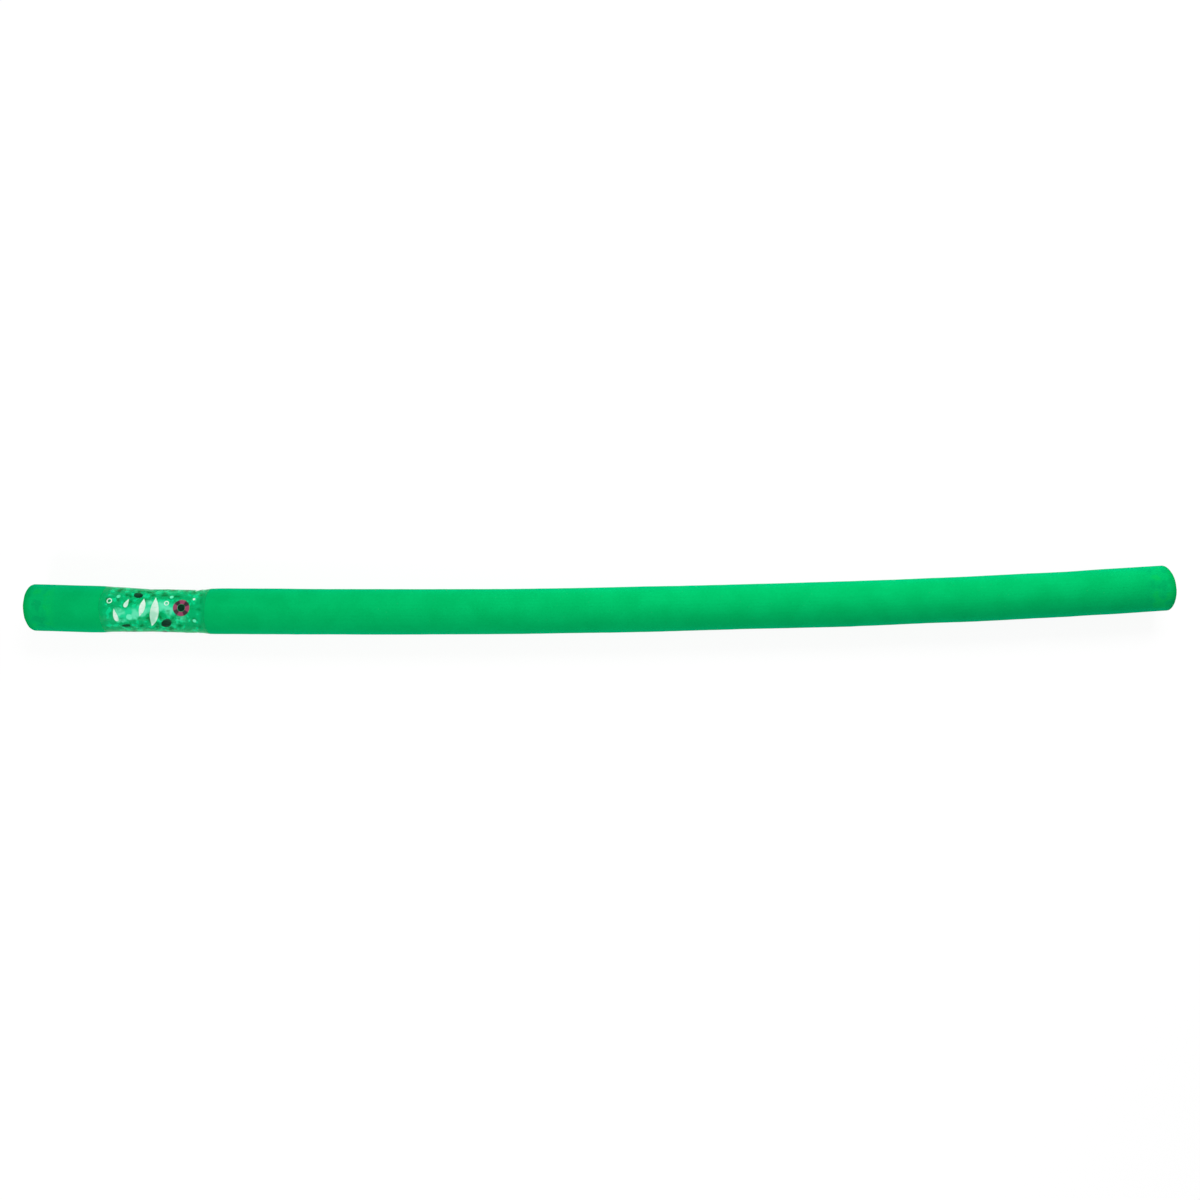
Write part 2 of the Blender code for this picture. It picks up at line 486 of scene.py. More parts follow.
def cellSeeds(side):
    # Centres of the cut cells, on a shaken triangular grid, and how deep each is
    draw = np.random.default_rng(foamBuild["cellSeed"] + side)
    size, reach, shaken = foamBuild["cellSize"], foamBuild["cellReach"], foamBuild["cellShake"]
    rowStep = size * sqrt(3) / 2
    rows, columns = int(2 * reach / rowStep), int(2 * reach / size)
    tree = KDTree(rows * columns)
    for row in range(rows):
        for column in range(columns):
            shake = draw.uniform(-shaken, shaken, 2) * size
            y = (column + row % 2 / 2) * size - reach + shake[0]
            z = row * rowStep - reach + shake[1]
            tree.insert((y, z, 0), row * columns + column)
    tree.balance()
    return tree, draw.uniform(foamBuild["shallowest"], 1.0, rows * columns)


def openCells(side, y, z):  # how deep each point of a sawn face lies in its cell
    tree, depths = cellSeeds(side)
    found = [tree.find_n((a, b, 0), 2) for a, b in zip(y.tolist(), z.tolist())]
    near = np.array([pair[0][2] for pair in found])
    nextNear = np.array([pair[1][2] for pair in found])
    depth = depths[[pair[0][1] for pair in found]]
    return smooth((nextNear - near) / (foamBuild["cellWall"] * foamBuild["cellSize"])) * depth


def sawn(side, straight, cut):
    # Opens the cut cells of a sawn face, and leaves the saw's faint lines across it
    build = foamBuild
    y, z = straight[:, 1], straight[:, 2]
    pits = openCells(side, y, z) * smooth(cut * 1.4 - 0.2)
    across = y * cos(build["sawAngle"]) + z * sin(build["sawAngle"])
    waver = build["sawStray"] * np.sin(z / build["sawWaver"])
    lines = np.sin(fullTurn * across / build["sawPitch"] + waver)
    depth = build["cellDepth"] * pits + build["sawDepth"] * lines * cut
    straight[:, 0] -= side * depth
    return pits


def endRings(side):
    # From the bore over the sawn face and round the rim. side is -1 at the left end and 1 at the right.
    # Each ring has a kind, places along, radii, and how far it is cut foam, from 0 to 1
    build = foamBuild
    angle = onceRound(build["endRound"])
    none = 0 * angle
    end = side * halfLength
    seed, *waves = build["rimWobble"]
    rim = build["rimRadius"] * (1 + unevenness(none, angle, seed + side, *waves))
    rings = []
    for quarter in np.linspace(0, pi / 2, build["boreRimSteps"] + 1)[:-1]:
        radius = build["boreRadius"] + build["boreRim"] * (1 - cos(quarter)) + none
        along = end - side * build["boreRim"] * (1 - sin(quarter)) + none
        rings.append(("bore", along, radius, smooth(quarter) + none))
    inner = build["boreRadius"] + build["boreRim"]
    outer = foamRadius(end - side * rim, angle) - rim
    for share in evenly(0, 1, build["faceStep"] / float(np.mean(outer - inner))):
        rings.append(("face", end + none, inner + (outer - inner) * share, 1 + none))
    for quarter in np.linspace(0, pi / 2, build["rimSteps"] + 1)[1:]:
        radius = outer + rim * sin(quarter)
        along = end - side * rim * (1 - cos(quarter))
        rings.append(("wall", along, radius, 1 - smooth(quarter / 1.25) + none))
    along = end - side * (rim + build["endStop"])
    rings.append(("wall", along, foamRadius(along, angle), none))
    return angle, rings


def ringOf(kind, side, angle, straight, cut, pit):
    return {"kind": kind, "side": side, "angle": angle, "straight": straight, "cut": cut, "pit": pit}


def sawnEnd(side):
    angle, rings = endRings(side)
    straight = np.concatenate([offCentre(along, radius, angle) for kind, along, radius, cut in rings])
    cut = np.concatenate([cut for kind, along, radius, cut in rings])
    pit = sawn(side, straight, cut)
    made = []
    for i, ring in enumerate(rings):
        own = slice(i * len(angle), (i + 1) * len(angle))
        made.append(ringOf(ring[0], side, angle, straight[own], cut[own], pit[own]))
    return made


stripLength = 2 * halfLength / 3  # the wall is unfolded in three strips of this length


def wallStations():
    build = foamBuild
    shoulder = build["shoulder"]
    start = -halfLength + build["rimRadius"] + build["wallStart"]
    runs = [(filmLeft - shoulder, "plainStep"), (filmLeft + shoulder, "shoulderStep"),
            (filmRight - shoulder, "filmStep"), (filmRight + shoulder, "shoulderStep"),
            (stripLength - halfLength, "plainStep"), (halfLength - stripLength, "plainStep"),
            (-start, "plainStep")]
    stations = np.array([start])
    for end, step in runs:
        stations = np.concatenate((stations, evenly(stations[-1], end, build[step])[1:]))
    return stations


def boreRadius(along, angle):
    return foamBuild["boreRadius"] + unevenness(along, angle, *foamBuild["boreWobble"])


def plainRings(kind, places, radiusAt):
    angle = onceRound(foamBuild["wallRound"])
    none = 0 * angle
    return [ringOf(kind, 0, angle, offCentre(along, radiusAt(along + none, angle), angle), none, none)
            for along in places]


def foamRings():
    # Every ring of the closed tube in order: left face, wall, right face, and back through the bore
    wall = plainRings("wall", wallStations(), foamRadius)
    reach = halfLength - foamBuild["boreStart"]
    bore = plainRings("bore", evenly(reach, -reach, foamBuild["boreStep"]), boreRadius)
    return sawnEnd(-1) + wall + sawnEnd(1)[::-1] + bore


foamMap = {
    # Places in the flat map, which is a square 1 wide. Its span is how many metres that is
    "span": 0.62,
    "edge": 0.003,
    "margin": 3 * mm,
    "wallTall": 0.324,
    "stripStep": 0.332,
    "faceMiddle": {-1: (0.940, 0.060), 1: (0.940, 0.170)},
    "boreCorner": (0.890, 0.240),
    "boreSize": (0.100, 0.750),
    "boreMargin": 2 * mm,
}


def unfolded(kind, ring, straight, turn):
    # Where corners lie in the flat map: the wall in three strips, the bore and both faces beside them
    flat = foamMap
    side = ring["side"]
    along, y, z = straight[..., 0], straight[..., 1], straight[..., 2]
    radius = np.hypot(y, z)
    if kind == "face":
        return together(y, z) / flat["span"] + flat["faceMiddle"][side]
    if kind == "bore":
        reach = along + side * (radius - foamBuild["boreRadius"])
        share = (reach + halfLength + flat["boreMargin"]) / (2 * halfLength + 2 * flat["boreMargin"])
        return together(turn, share) * flat["boreSize"] + flat["boreCorner"]
    reach = along + side * (foamShape["restRadius"] - radius)
    return together(reach, turn * flat["wallTall"])


def inStrip(places):
    # Moves a ring of the unfolded wall to the strip of the map that its middle falls in
    flat = foamMap
    strip = int(min(max((places[..., 0].mean() + halfLength) // stripLength, 0), 2))
    along = (places[..., 0] + halfLength - strip * stripLength + flat["margin"]) / flat["span"]
    up = places[..., 1] + flat["edge"] + strip * flat["stripStep"]
    return together(along + flat["edge"], up)


def ringFaces(first, firstStart, second, secondStart):
    # Faces between two rings. Where one has more points, each wide face takes in several narrow ones
    firstCount, secondCount = len(first["angle"]), len(second["angle"])
    fewer = min(firstCount, secondCount)
    i = np.arange(fewer)[:, None]
    onFirst = i * (firstCount // fewer) + np.arange(firstCount // fewer, -1, -1)
    onSecond = i * (secondCount // fewer) + np.arange(secondCount // fewer + 1)
    faces = np.concatenate((onSecond % secondCount + secondStart, onFirst % firstCount + firstStart), axis=1)
    kind = first["kind"] if second["kind"] == "face" else second["kind"]
    ends = [unfolded(kind, second, second["straight"][onSecond % secondCount], onSecond / secondCount),
            unfolded(kind, first, first["straight"][onFirst % firstCount], onFirst / firstCount)]
    places = np.concatenate(ends, axis=1)
    return faces, inStrip(places) if kind == "wall" else places


def foamPiece():
    rings = foamRings()
    starts = np.cumsum([0] + [len(ring["angle"]) for ring in rings])
    faceSets, mapSets = [], []
    for i, ring in enumerate(rings):
        following = (i + 1) % len(rings)
        faces, places = ringFaces(ring, starts[i], rings[following], starts[following])
        faceSets.append(faces)
        mapSets.append(places)
    straight = np.concatenate([ring["straight"] for ring in rings])
    extra = {name: np.concatenate([ring[name] for ring in rings]) for name in ("cut", "pit")}
    piece = meshObject("foamLength", bowed(straight), faceSets, mapSets, straight, extra)
    piece.data.materials.append(foamMaterial())
    return piece


# The foam's finish

foamFinish = {
    "green": (0.0006, 0.450, 0.115, 1.0),
    "deepGreen": (0.0003, 0.400, 0.100, 1.0),
    "paleGreen": (0.0012, 0.500, 0.140, 1.0),
    "endSpotDark": (0.0005, 0.330, 0.100, 1.0),
    "endSpotLight": (0.0030, 0.520, 0.080, 1.0),
    # Painted shade for the darker band round each rim
    "rimShadeGreen": (0.0004, 0.330, 0.062, 1.0),
    "cutGreen": (0.003, 0.490, 0.140, 1.0),
    # Painted shade in the open cells of the sawn faces, deeper cells darker
    "pitShadeGreen": (0.001, 0.280, 0.060, 1.0),
    "dust": (0.120, 0.560, 0.300, 1.0),
    "sheenTint": (0.000, 0.950, 0.850, 1.0),  # of the soft sheen that shows at grazing angles
    "sheen": 0.6,
    "sheenRoughness": 0.4,
    "skinRoughness": 0.58,
    "rubbedRoughness": 0.14,  # more, where it is rubbed
    "cutRoughness": 0.86,
    "skinCell": 1.9 * mm,
    "cutCell": 0.75 * mm,
    "streakPitch": 1.6 * mm,
    "patchSize": 45 * mm,
    "speckSize": 4 * mm,
    "mottle": 35 * mm,  # how wide the soft changes of colour are
    "rimShadeBand": 12 * mm,  # painted shade: a darker band round each end, where the rounded rim turns from the light
    "spottedEnds": 50 * mm,  # near each end, where the colour goes uneven in light and dark spots
    "endSpotSize": 13 * mm,
    # How far each of these changes the colour, at most
    "endSpotShare": 0.6,
    "streakShare": 0.28,
    "wallShare": 0.20,
    "toneShare": 0.16,
    "speckShare": 0.35,
    "cutToneShare": 0.35,
    # The bump, and the heights in it as shares of its depth
    "bumpStrength": 0.7,
    "bumpDepth": 0.42 * mm,
    "domeHeight": 0.55,
    "streakHeight": 0.9,
    "cutWallHeight": 1.6,
}


def handledMarks(tree, place, look):
    return placed(tree, marks, {
        "Vector": place, "Patch Size": look["patchSize"], "Speck Size": look["speckSize"]})


def foamMaterial():
    look = foamFinish
    material, tree, shader = newMaterial("greenFoam", {
        "Specular IOR Level": 0.0, "Sheen Weight": look["sheen"], "Sheen Roughness": look["sheenRoughness"],
        "Sheen Tint": look["sheenTint"]})
    place = attribute(tree, "straight", "Vector")
    skin = placed(tree, cells, {"Vector": place, "Cell Size": look["skinCell"]})
    opened = placed(tree, cells, {"Vector": place, "Cell Size": look["cutCell"]})
    streak = placed(tree, streaks, {"Vector": place, "Pitch": look["streakPitch"]})["Streak"]
    handled = handledMarks(tree, place, look)

    ragged = ramp(tree, noiseOf(tree, place, 900.0), 0.3, 0.7, -0.25, 0.25)
    isCut = ramp(tree, sums(tree, "ADD", attribute(tree, "cut"), ragged), 0.35, 0.65)

    mottle = noiseOf(tree, place, 1 / look["mottle"], 3.0)
    colour = mixed(tree, ramp(tree, mottle, 0.30, 0.72), look["deepGreen"], look["paleGreen"])
    colour = mixed(tree, 0.5, colour, look["green"])
    reach = sums(tree, "ABSOLUTE", splitPlace(tree, place)[0])
    # Near each end the colour goes uneven, in lighter and darker spots
    nearEnds = ramp(tree, reach, halfLength - look["spottedEnds"], halfLength - 0.5 * look["spottedEnds"])
    spots = noiseOf(tree, place, 1 / look["endSpotSize"], 1.0)
    lightSpots = ramp(tree, spots, 0.52, 0.66, 0.0, look["endSpotShare"])
    darkSpots = ramp(tree, spots, 0.34, 0.46, look["endSpotShare"], 0.0)
    colour = tinted(tree, colour, look["endSpotLight"], nearEnds, lightSpots)
    colour = tinted(tree, colour, look["endSpotDark"], nearEnds, darkSpots)
    # Painted shade: the foam darkens towards each rim
    rim = ramp(tree, reach, halfLength - look["rimShadeBand"], halfLength)
    colour = mixed(tree, rim, colour, look["rimShadeGreen"])
    colour = tinted(tree, colour, look["deepGreen"], ramp(tree, streak, 0.35, 0.75), look["streakShare"])
    colour = tinted(tree, colour, look["paleGreen"], skin["Wall"], look["wallShare"])
    colour = tinted(tree, colour, look["deepGreen"], skin["Tone"], look["toneShare"])
    colour = tinted(tree, colour, look["dust"], handled["Specks"], look["speckShare"])
    inside = tinted(tree, look["cutGreen"], look["green"], opened["Tone"], look["cutToneShare"])
    # Painted shade: the sawn face darkens in the depth of each open cell
    inside = mixed(tree, ramp(tree, attribute(tree, "pit"), 0.25, 1.0, 0.0, 0.9), inside, look["pitShadeGreen"])
    colour = mixed(tree, isCut, colour, inside)

    rough = sums(tree, "MULTIPLY_ADD", handled["Rubbed"], look["rubbedRoughness"], look["skinRoughness"])
    rough = sums(tree, "ADD", rough, ramp(tree, streak, 0.3, 0.7, -0.04, 0.04))
    rough = between(tree, isCut, rough, look["cutRoughness"])

    domes = times(tree, skin["Dome"], look["domeHeight"])
    skinHeight = sums(tree, "ADD", domes, times(tree, streak, look["streakHeight"]))
    cutHeight = times(tree, opened["Wall"], look["cutWallHeight"])
    normal = bumpOf(tree, look, between(tree, isCut, skinHeight, cutHeight))
    fill(tree, shader, {"Base Color": colour, "Roughness": rough, "Normal": normal})
    return material


foam = foamPiece()
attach(foam, "root")
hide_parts("foam_tube")
print(f"foam: {len(foam.data.vertices)} points, {len(foam.data.polygons)} faces")


# Film sleeve

filmMap = {
    # Size and corner of each face of the film in its flat map, and the strip between them for its rim
    "outer": ((0.84, 0.98), (0.01, 0.01)),
    "inner": ((0.11, 0.98), (0.88, 0.01)),
    "rim": (0.86, 0.87),
}


def lapLift(rolled):  # how far the film stands off where it lies over its own first edge
    rise = filmShape["lapRise"]
    return smooth((rolled - fullTurn + rise) / rise) * (filmShape["thickness"] + filmShape["lapGap"])


def sheetFaces(rows, columns):
    # Both sides and the rim of a thin sheet, and their places in its flat map
    number = np.arange(rows * columns).reshape(rows, columns)
    outside = together(number[:-1, :-1], number[1:, :-1], number[1:, 1:], number[:-1, 1:]).reshape(-1, 4)
    inside = outside[:, ::-1] + rows * columns
    border = np.concatenate((number[:-1, 0], number[-1, :-1], number[:0:-1, -1], number[0, :0:-1]))
    onward = np.roll(border, -1)
    rim = together(onward, border, border + rows * columns, onward + rows * columns)

    flat = together(np.linspace(0, 1, rows)[:, None], np.linspace(0, 1, columns)).reshape(-1, 2)
    outerSize, outerCorner = filmMap["outer"]
    innerSize, innerCorner = filmMap["inner"]
    left, right = filmMap["rim"]
    step = np.arange(len(border)) / len(border)
    ahead = step + 1 / len(border)
    maps = [flat[outside] * outerSize + outerCorner,
            flat[inside - rows * columns] * innerSize + innerCorner,
            together((left, left, right, right), together(ahead, step, step, ahead))]
    return [outside, inside, rim], maps


def filmPiece():
    shape = filmShape
    waist = foamShape["restRadius"] - shape["thickness"]
    rolled = evenly(0, fullTurn + shape["lapWidth"] / waist, shape["roundStep"] / waist)[None, :]
    flatAlong = evenly(filmLeft, filmRight, shape["alongStep"])[:, None]
    angle = shape["seamAngle"] + rolled
    nearEdge = ((flatAlong - (filmLeft + filmRight) / 2) / (filmLength / 2)) ** 5
    along = flatAlong + shape["edgeWander"] * nearEdge * (np.sin(2 * angle + 0.6) + 0.5 * np.sin(5 * angle))
    radius = filmRadius(along, angle) + lapLift(rolled)
    sides = [offCentre(along, radius + shape["thickness"], angle), offCentre(along, radius, angle)]
    rows, columns = sides[0].shape[:2]
    straight = np.concatenate([points.reshape(-1, 3) for points in sides])
    loose = np.broadcast_to(filmWrinkles(along, angle), (rows, columns)).ravel() / shape["puckerHeight"]
    extra = {"loose": np.concatenate((loose, loose)), "inner": np.repeat((0.0, 1.0), rows * columns)}
    piece = meshObject("filmSleeve", bowed(straight), *sheetFaces(rows, columns), straight, extra)
    around = (angle - fullTurn) * shape["flatRadius"]
    label = together(flatAlong - filmLeft, around, 0.0).reshape(-1, 3)
    keepPlaces(piece.data, "label", np.concatenate((label, label)))
    piece.data.materials.append(filmMaterial())
    return piece


filmFinish = {
    "clear": (0.003, 0.643, 0.232, 1.0),
    # The painted highlight band, in light and deep patches
    "mint": (0.140, 0.900, 0.520, 1.0),
    "highlightDeep": (0.015, 0.760, 0.340, 1.0),
    "haze": (0.010, 0.600, 0.240, 1.0),
    "leafLight": (0.004, 0.860, 0.350, 1.0),  # a printed dapple, light and dark
    "leafDark": (0.001, 0.250, 0.055, 1.0),
    "hem": (0.001, 0.550, 0.165, 1.0),
    "glossTint": (0.250, 1.000, 0.700, 1.0),
    "gloss": 0.12,
    "roughness": 0.13,
    "rubbedRoughness": 0.14,  # more, where it is rubbed
    "patchSize": 20 * mm,
    "speckSize": 3 * mm,
    "crinkle": (160.0, 420.0, 420.0),  # crinkles to a metre, along the film and across it
    "bumpStrength": 0.5,
    "bumpDepth": 0.06 * mm,
    "domeHeight": 0.35,  # of the foam's cells under the film, as a share of that depth
    "dapple": 9 * mm,
    "highlightPatch": 17 * mm,  # how wide the light and deep patches of the painted highlight band are
    "hemWidth": 8 * mm,
    "looseShare": 0.55,  # how far loose film hazes the colour
    "speckShare": 0.5,
    "clearAlpha": 0.45,
    "highlightAlpha": 0.85,
    "hazeAlpha": 0.10,
    "leafAlpha": 0.65,
    "innerShare": 0.10,  # of the outer face's cover that the inner face has
}

# The painted highlight: a lighter mint band along the flat label, where the film's gloss runs. Where it
# runs, how it sways and how ragged it is
highlightBand = {
    "from": 16 * mm,
    "to": 124 * mm,
    "enters": 10 * mm,
    "leaves": 16 * mm,
    "wave": 110 * mm,
    "sway": -7 * mm,
    "wide": 11.8 * mm,
    "ragged": 20 * mm,
}


def paintedHighlight(tree, label):
    # A painted highlight: a soft lighter band that sways along the label, once on each side: 1 in it, 0
    # outside
    band = highlightBand
    split = splitPlace(tree, label)
    along, around = split[0], split[1]
    half = pi * filmShape["flatRadius"]
    folded = sums(tree, "WRAP", around, half / 2, -half / 2)
    wave = sums(tree, "SINE", times(tree, along, fullTurn / band["wave"]))
    fromBand = sums(tree, "SUBTRACT", folded, times(tree, wave, band["sway"]))
    ragged = sums(tree, "SUBTRACT", noiseOf(tree, label, 110.0, 3.0), 0.5)
    ragged = times(tree, ragged, band["ragged"])
    away = sums(tree, "ABSOLUTE", sums(tree, "ADD", fromBand, ragged))
    glossBand = ramp(tree, away, 0.35 * band["wide"], band["wide"], 1.0, 0.0)
    enters = ramp(tree, along, band["from"], band["from"] + band["enters"])
    leaves = ramp(tree, along, band["to"] - band["leaves"], band["to"], 1.0, 0.0)
    return times(tree, glossBand, times(tree, enters, leaves))


def filmSurface(tree, place, shader):
    # What the bare film and every ink on it have in common: scuffs, crinkles, the foam's cells under it
    look = filmFinish
    pressed = placed(tree, cells, {"Vector": place, "Cell Size": foamFinish["skinCell"]})
    handled = handledMarks(tree, place, look)
    crinkle = noiseOf(tree, scaledPlace(tree, place, look["crinkle"]), 1.0, 3.0)
    rough = sums(tree, "MULTIPLY_ADD", handled["Rubbed"], look["rubbedRoughness"], look["roughness"])
    height = sums(tree, "ADD", times(tree, pressed["Dome"], look["domeHeight"]), crinkle)
    fill(tree, shader, {"Roughness": rough, "Normal": bumpOf(tree, look, height)})
    return handled


def filmMaterial():
    look = filmFinish
    material, tree, shader = newMaterial("clearFilm", {
        "Specular IOR Level": look["gloss"], "Specular Tint": look["glossTint"]})
    place = attribute(tree, "straight", "Vector")
    label = attribute(tree, "label", "Vector")
    loose = ramp(tree, attribute(tree, "loose"), 0.35, 1.3)
    handled = filmSurface(tree, place, shader)
    glossBand = paintedHighlight(tree, label)
    along = splitPlace(tree, label)[0]
    nearEdge = sums(tree, "MINIMUM", along, sums(tree, "SUBTRACT", filmLength, along))
    hem = ramp(tree, nearEdge, 0.3 * look["hemWidth"], look["hemWidth"], 1.0, 0.0)
    bare = sums(tree, "SUBTRACT", 1.0, hem)
    dapple = noiseOf(tree, label, 1 / look["dapple"], 1.5)
    lightLeaf = times(tree, bare, ramp(tree, dapple, 0.50, 0.62))
    darkLeaf = times(tree, bare, ramp(tree, dapple, 0.32, 0.46, 1.0, 0.0))
    colour = mixed(tree, lightLeaf, look["clear"], look["leafLight"])
    colour = mixed(tree, darkLeaf, colour, look["leafDark"])
    colour = mixed(tree, hem, colour, look["hem"])
    # Painted highlight: the lighter mint band along the film, in light and deep patches
    patches = ramp(tree, noiseOf(tree, label, 1 / look["highlightPatch"], 1.0), 0.42, 0.58)
    colour = mixed(tree, glossBand, colour, mixed(tree, patches, look["highlightDeep"], look["mint"]))
    colour = tinted(tree, colour, look["haze"], loose, look["looseShare"])
    colour = tinted(tree, colour, look["haze"], handled["Specks"], look["speckShare"])
    alpha = sums(tree, "MULTIPLY_ADD", glossBand, look["highlightAlpha"] - look["clearAlpha"], look["clearAlpha"])
    alpha = sums(tree, "ADD", alpha, times(tree, loose, look["hazeAlpha"]), clamp=True)
    leaves = times(tree, sums(tree, "MAXIMUM", lightLeaf, darkLeaf), look["leafAlpha"])
    alpha = sums(tree, "MAXIMUM", alpha, leaves)
    cover = ramp(tree, attribute(tree, "inner"), 0.0, 1.0, 1.0, look["innerShare"])
    fill(tree, shader, {"Base Color": colour, "Alpha": times(tree, alpha, cover)})
    return material


film = filmPiece()
print(f"film: {len(film.data.polygons)} faces")


# Print on the film: generic shapes in the flat label, then laid on the rolled film

printShape = {
    "thickness": 0.03 * mm,
    "grid": 0.8 * mm,
    "seamClear": 3 * mm,
    "sharpAngle": radians(35),
    "panels": 4,
    "panelWide": 0.7,  # radians
}

# Each ink: its colour, its colour where it is thin, how far off the film it lies, and its motifs. A motif
# has mm along from the film's left edge, mm round from the top, its turn in degrees, and sizes in mm
inks = {
    "white": {
        "colour": (0.740, 0.920, 0.800, 1.0),
        "thin": (0.260, 0.700, 0.460, 1.0),
        "lift": 0.06 * mm,
        "motifs": [("drop", 22, -7, 12, 18, 9), ("drop", 37, 10, -20, 13, 8),
                   ("bubble", 13, 12, 0, 3.6, 2.3), ("crescent", 57, 5, 170, 26, 6, 8),
                   ("crescent", 72, -2, 172, 44, 10, 12), ("bubble", 92, 11, 0, 3.4, 2.1),
                   ("disc", 129, 18, 0, 1.8, 1.8), ("bubble", 24, -44, 0, 4.5, 3.0),
                   ("drop", 62, -48, 150, 15, 8), ("disc", 109, -43, 0, 1.6, 1.6),
                   ("crescent", 127, -48, 172, 22, 5, 7)],
    },
    "mint": {
        "colour": (0.150, 0.880, 0.520, 1.0),
        "thin": (0.040, 0.660, 0.320, 1.0),
        "lift": 0.06 * mm,
        "motifs": [("disc", 24, 19, 0, 2.6, 2.6), ("disc", 41, -9, 0, 4.0, 4.0),
                   ("disc", 97, 21, 0, 2.6, 2.6), ("disc", 131, -13, 0, 2.6, 2.6),
                   ("disc", 33, -51, 0, 2.4, 2.4), ("bubble", 101, -50, 0, 5.0, 3.4)],
    },
    "magenta": {
        "colour": (0.300, 0.050, 0.120, 1.0),
        "thin": (0.200, 0.090, 0.110, 1.0),
        "lift": 0.06 * mm,
        "motifs": [("bubble", 113, 5, 0, 11.5, 5.4)],
    },
    "plum": {
        "colour": (0.045, 0.018, 0.030, 1.0),
        "thin": (0.080, 0.050, 0.055, 1.0),
        "lift": 0.11 * mm,
        "motifs": [("panels", 113, 5, 20, 11.5, 5.4)],
    },
    "dark": {
        "colour": (0.001, 0.018, 0.007, 1.0),
        "thin": (0.001, 0.060, 0.018, 1.0),
        "lift": 0.06 * mm,
        "motifs": [("disc", 34, -23, 10, 6.0, 2.4), ("disc", 50, 23, -15, 6.5, 4.6),
                   ("disc", 91, -18, 40, 8.5, 5.8), ("disc", 113, 5, 0, 5.0, 5.0),
                   ("disc", 82, -42, 80, 5.0, 3.4)],
    },
}


def ovalLoop(longRadius, shortRadius):
    count = max(16, int(longRadius * 10))
    return [(longRadius * cos(a), shortRadius * sin(a)) for a in onceRound(count)]


def arcPoints(radius, start, end, count):
    return [(radius * cos(a), radius * sin(a)) for a in np.linspace(start, end, count)]


def panelLoop(outer, inner, start):
    end = start + printShape["panelWide"]
    return arcPoints(outer, start, end, 10) + arcPoints(inner, end, start, 8)


def dropLoop(length, width):
    return [(width / 2 * sin(t) * sin(t / 2) ** 1.4, length / 2 * cos(t)) for t in onceRound(36)]


def crescentLoop(length, deep, thick):  # stands along y and opens to +x
    shares = np.linspace(-1, 1, 25)
    back = [(-deep * (1 - s * s), s * length / 2) for s in shares]
    front = [(-deep * (1 - s * s) + thick * (1 - s * s) ** 1.2, s * length / 2) for s in shares[-2:0:-1]]
    return back + front


def motifShapes(motif, sizes):
    # The flat shapes of one motif, in mm. Each has the loop of its outside, and then those of any holes
    if motif == "disc":
        return [[ovalLoop(*sizes)]]
    if motif == "bubble":
        return [[ovalLoop(size, size) for size in sizes]]
    if motif == "panels":
        return [[panelLoop(*sizes, start)] for start in onceRound(printShape["panels"])]
    return [[dropLoop(*sizes) if motif == "drop" else crescentLoop(*sizes)]]


def laidOut(loop, along, around, degrees):
    turn = radians(degrees)
    return [((along + x * cos(turn) - y * sin(turn)) * mm,
             (around + x * sin(turn) + y * cos(turn)) * mm) for x, y in loop]


def crossesSeam(loop):
    onceFlat = fullTurn * filmShape["flatRadius"]
    seam = filmShape["seamAngle"] * filmShape["flatRadius"]
    low = seam - printShape["seamClear"]
    high = seam + filmShape["lapWidth"] + printShape["seamClear"]
    rounds = np.array([y for x, y in loop])
    return any(rounds.max() > low + k * onceFlat and rounds.min() < high + k * onceFlat for k in (-1, 0, 1))


def fillFlat(shape, loops):
    # Fills a flat shape, less its holes, and cuts it into a grid fine enough to follow the film's creases
    corners, drawn = [], []
    for loop in loops:
        ring = [shape.verts.new((x, y, 0)) for x, y in loop]
        drawn += [shape.edges.new((ring[i - 1], ring[i])) for i in range(len(ring))]
        corners += ring
    cut = corners + drawn + bmesh.ops.triangle_fill(shape, use_beauty=True, edges=drawn)["geom"]
    grid = printShape["grid"]
    for axis, normal in enumerate((Vector((1, 0, 0)), Vector((0, 1, 0)))):
        places = [corner[axis] for corner in loops[0]]
        for k in range(ceil(min(places) / grid), ceil(max(places) / grid)):
            line = {"plane_co": normal * k * grid, "plane_no": normal}
            cut = bmesh.ops.bisect_plane(shape, geom=cut, **line)["geom"]


def inkPiece(ink):
    shape = bmesh.new()
    for motif, along, around, degrees, *sizes in inks[ink]["motifs"]:
        for shift in (0, pi * filmShape["flatRadius"] / mm):  # once on each side of the noodle
            for loops in motifShapes(motif, sizes):
                laid = [laidOut(loop, along, around + shift, degrees) for loop in loops]
                if not crossesSeam(laid[0]):
                    fillFlat(shape, laid)
    bmesh.ops.reverse_faces(shape, faces=[face for face in shape.faces if face.normal.z < 0])
    flat = np.array([vert.co for vert in shape.verts])
    along = filmLeft + flat[:, 0]
    angle = flat[:, 1] / filmShape["flatRadius"]
    radius = filmRadius(along, angle) + filmShape["thickness"] + inks[ink]["lift"]
    radius = radius + lapLift(fullTurn - (filmShape["seamAngle"] - angle) % fullTurn)
    straight = offCentre(along, radius, angle)
    for vert, place in zip(shape.verts, bowed(straight)):
        vert.co = place
    mesh = bpy.data.meshes.new("print_" + ink)
    shape.to_mesh(mesh)
    shape.free()
    mesh.shade_smooth()
    keepPlaces(mesh, "straight", straight)
    mesh.materials.append(inkMaterial(ink))
    piece = newObject("print_" + ink, mesh)
    body = piece.modifiers.new("ink thickness", "SOLIDIFY")
    body.thickness = printShape["thickness"]
    body.offset = 1.0
    bpy.context.view_layer.update()
    solid = bpy.data.meshes.new_from_object(piece.evaluated_get(bpy.context.evaluated_depsgraph_get()))
    solid.set_sharp_from_angle(angle=printShape["sharpAngle"])
    piece.modifiers.clear()
    piece.data = solid
    return piece


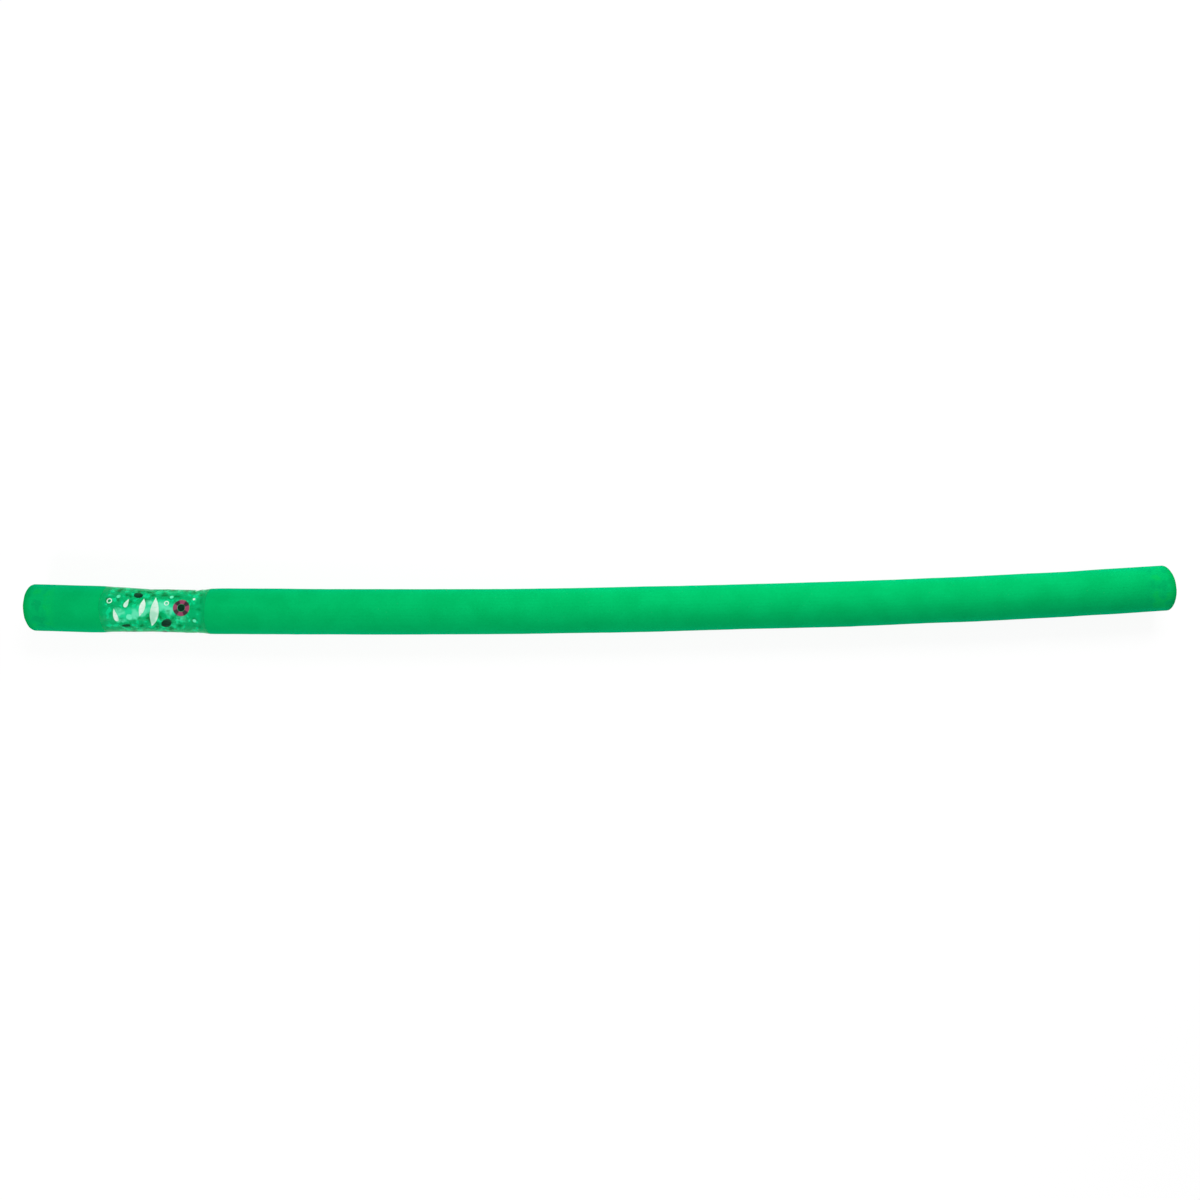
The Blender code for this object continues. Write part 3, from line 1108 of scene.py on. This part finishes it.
def inkMaterial(ink):
    # Ink on film: its cover is uneven, and it thins where the film is scuffed
    material, tree, shader = newMaterial("ink_" + ink, {
        "Specular IOR Level": filmFinish["gloss"], "Specular Tint": filmFinish["glossTint"]})
    place = attribute(tree, "straight", "Vector")
    handled = filmSurface(tree, place, shader)
    fine = ramp(tree, noiseOf(tree, place, 260.0, 4.0), 0.45, 0.85, 0.0, 0.8)
    broad = ramp(tree, noiseOf(tree, place, 70.0, 1.0), 0.45, 0.70, 0.0, 0.7)
    scuffed = times(tree, handled["Rubbed"], 0.25)
    thin = sums(tree, "ADD", sums(tree, "MAXIMUM", fine, broad), scuffed, clamp=True)
    fill(tree, shader, {"Base Color": mixed(tree, thin, inks[ink]["colour"], inks[ink]["thin"])})
    return material


prints = [inkPiece(ink) for ink in inks]
for piece in [film] + prints:
    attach(piece, "root")
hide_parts("label_sleeve")
print(f"print: {len(prints)} inks")


# Floor, light and camera

studio = {
    "floorColour": (0.80, 0.80, 0.80, 1.0),
    "floorRoughness": 0.9,
    "floorSize": 14.0,
    "floorDrop": 0.2 * mm,
    "backdropWhite": 1.07,  # so that the floor, lit part included, comes out plain white
    "backdropShare": 0.84,  # of what the camera sees of the floor that is plain white, the rest being lit
    # The floor turns all white between these distances from the middle
    "plainFrom": 1.1,
    "plainTo": 2.2,
    "fill": 0.365,
    # Soft lights: place, size across and along, watts, and the place that each is aimed at
    "lights": {
        "back": ((0.50, 1.50, 1.60), (1.5, 0.8), 33.0, (0.3, 0, 0.03)),
        "side": ((0.30, 1.10, 0.38), (0.8, 0.3), 4.4, (0.2, 0, 0.03)),
        "front": ((-0.90, -1.60, 1.40), (1.2, 0.8), 19.4, (-0.5, 0, 0.03)),
    },
}


def seenWhite(tree):  # 1 for rays from the camera, and for those that gloss or glass sends on
    path = put(tree, "LightPath").outputs
    sentOn = sums(tree, "MAXIMUM", path["Is Glossy Ray"], path["Is Transmission Ray"])
    return sums(tree, "MAXIMUM", path["Is Camera Ray"], sentOn)


def buildFloor():
    half = studio["floorSize"] / 2
    low = -studio["floorDrop"]
    mesh = bpy.data.meshes.new("floor")
    corners = [(-half, -half, low), (half, -half, low), (half, half, low), (-half, half, low)]
    mesh.from_pydata(corners, [], [(0, 1, 2, 3)])
    floor = newObject("floor", mesh)
    material, tree, shader = newMaterial("paleFloor", {
        "Base Color": studio["floorColour"], "Roughness": studio["floorRoughness"],
        "Specular IOR Level": 0.0})
    white = put(tree, "Emission", {"Strength": studio["backdropWhite"]}).outputs[0]
    place = put(tree, "TexCoord").outputs["Object"]
    away = put(tree, "VectorMath", {0: place}, operation="LENGTH").outputs["Value"]
    plain = ramp(tree, away, studio["plainFrom"], studio["plainTo"], studio["backdropShare"], 1.0)
    share = times(tree, seenWhite(tree), plain)
    both = put(tree, "MixShader", {0: share, 1: shader.outputs[0], 2: white}).outputs[0]
    fill(tree, tree.nodes["Material Output"], {"Surface": both})
    mesh.materials.append(material)


def buildWorld():
    world = bpy.data.worlds.new("studio")
    world.use_nodes = True
    bpy.context.scene.world = world
    tree = world.node_tree
    strength = sums(tree, "MAXIMUM", seenWhite(tree), studio["fill"])
    fill(tree, tree.nodes["Background"], {"Color": (1.0, 1.0, 1.0, 1.0), "Strength": strength})


def softLight(name, place, size, watts, target):
    light = bpy.data.lights.new(name, "AREA")
    light.shape = "RECTANGLE"
    light.size, light.size_y = size
    light.energy = watts
    lamp = newObject(name, light)
    lamp.location = place
    lamp.rotation_euler = (Vector(target) - Vector(place)).to_track_quat("-Z", "Y").to_euler()
    lamp.visible_camera = False


photoView = {
    "lens": 32.62,  # mm, on the usual sensor, 36 mm wide
    "height": 1.569,
    "tilt": 0.953,  # degrees that the noodle's chord is turned in the picture
    "right": 0.2 * mm,  # of the chord's middle, in the picture's own directions
    "up": -2.8 * mm,
}


def buildCamera():
    view = photoView
    camera = bpy.data.cameras.new("camera")
    camera.lens = view["lens"]
    tilt = radians(view["tilt"])
    right = Vector((cos(tilt), -sin(tilt), 0))
    up = Vector((sin(tilt), cos(tilt), 0))
    chordMiddle = Vector((0, endPlace.y, 0))
    holder = newObject("camera", camera)
    holder.location = chordMiddle + view["right"] * right + view["up"] * up + Vector((0, 0, view["height"]))
    holder.rotation_euler = (0, 0, -tilt)
    bpy.context.scene.camera = holder


buildFloor()
buildWorld()
for name, settings in studio["lights"].items():
    softLight(name, *settings)
bpy.context.scene.view_settings.view_transform = "Standard"
buildCamera()
print("studio: floor, three soft lights, camera straight above")
